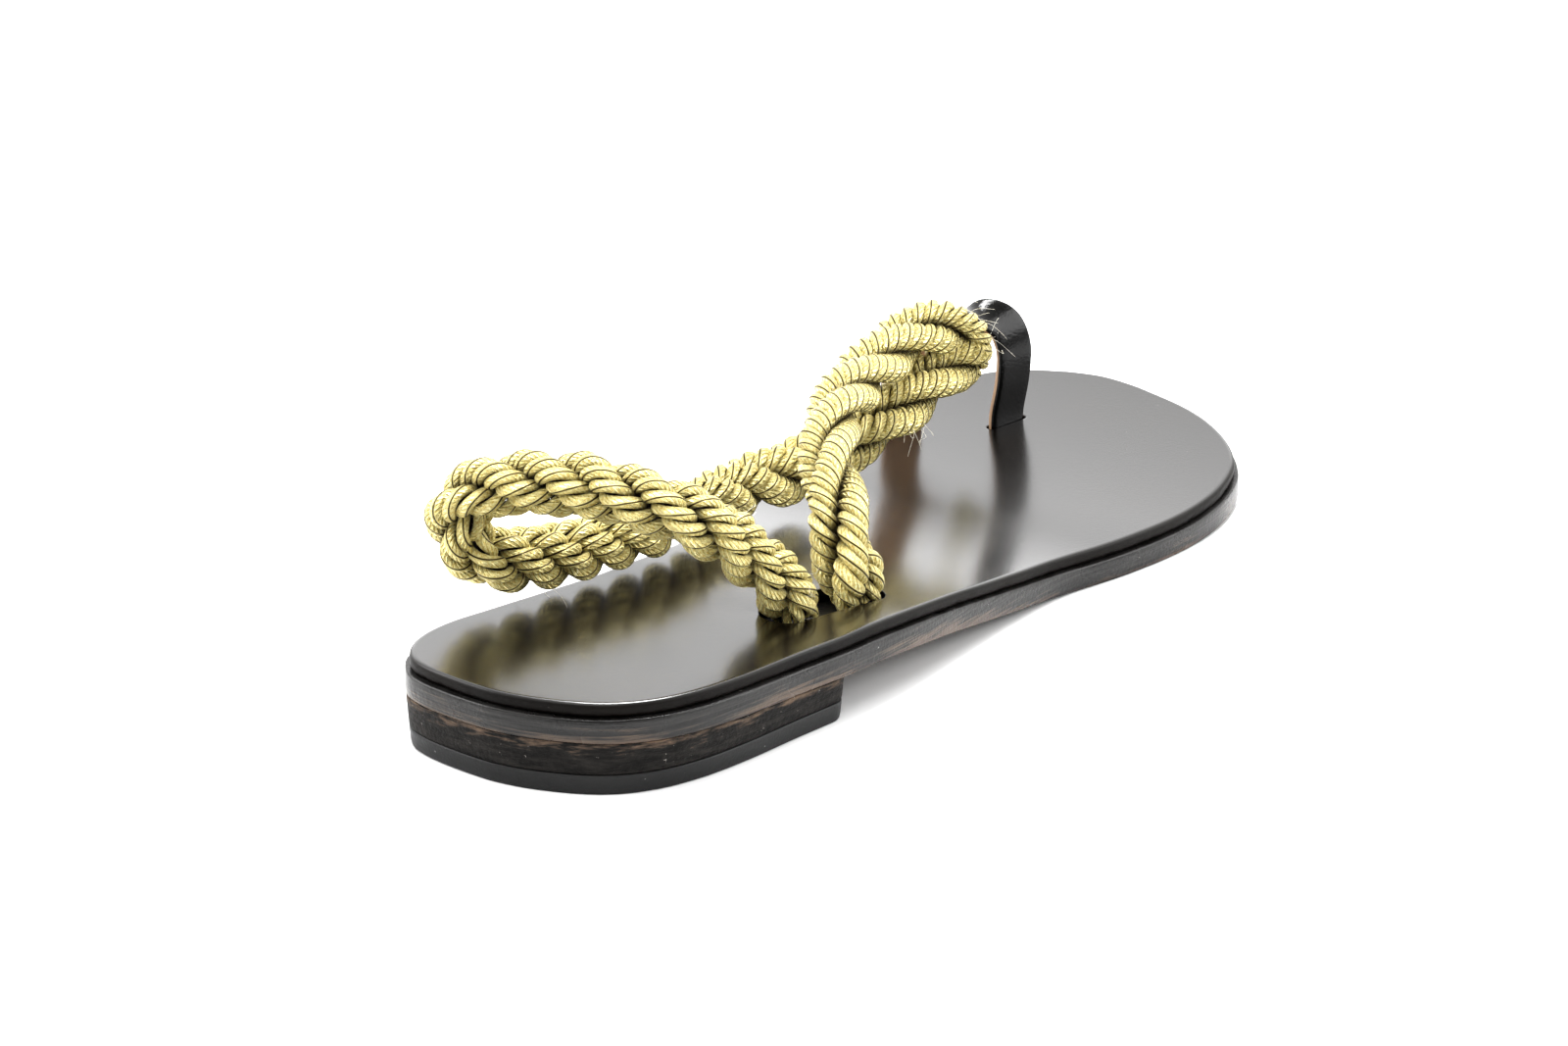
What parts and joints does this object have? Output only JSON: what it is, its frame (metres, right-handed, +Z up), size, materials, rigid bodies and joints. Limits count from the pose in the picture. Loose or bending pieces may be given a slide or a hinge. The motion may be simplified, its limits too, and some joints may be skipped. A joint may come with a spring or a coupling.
{
  "type": "flat sandal",
  "caption": "Right flat sandal: thin leather sole on a low heel, a leather toe ring, and an upper of thick twisted rope with an open heel loop.",
  "frame": {"origin": "on the floor, under the middle of the sandal's overall width and length", "axes": "+Y from heel to toe, +X towards the outer (little toe) side, +Z up"},
  "size_m": [0.099, 0.2592, 0.0591],
  "materials": {
    "footbed_leather": "gloss",
    "sole_edge": "satin",
    "lift_leather": "matt",
    "heel_rubber": "matt",
    "ring_leather": "satin",
    "rope_yarn": "metallic yarn"
  },
  "bodies": {
    "root": {"footbed": "footbed_leather", "outsole": "sole_edge", "heel_lift": "lift_leather", "heel_top_piece": "heel_rubber", "toe_ring": "ring_leather", "rope_upper": "rope_yarn"}
  },
  "joints": []
}
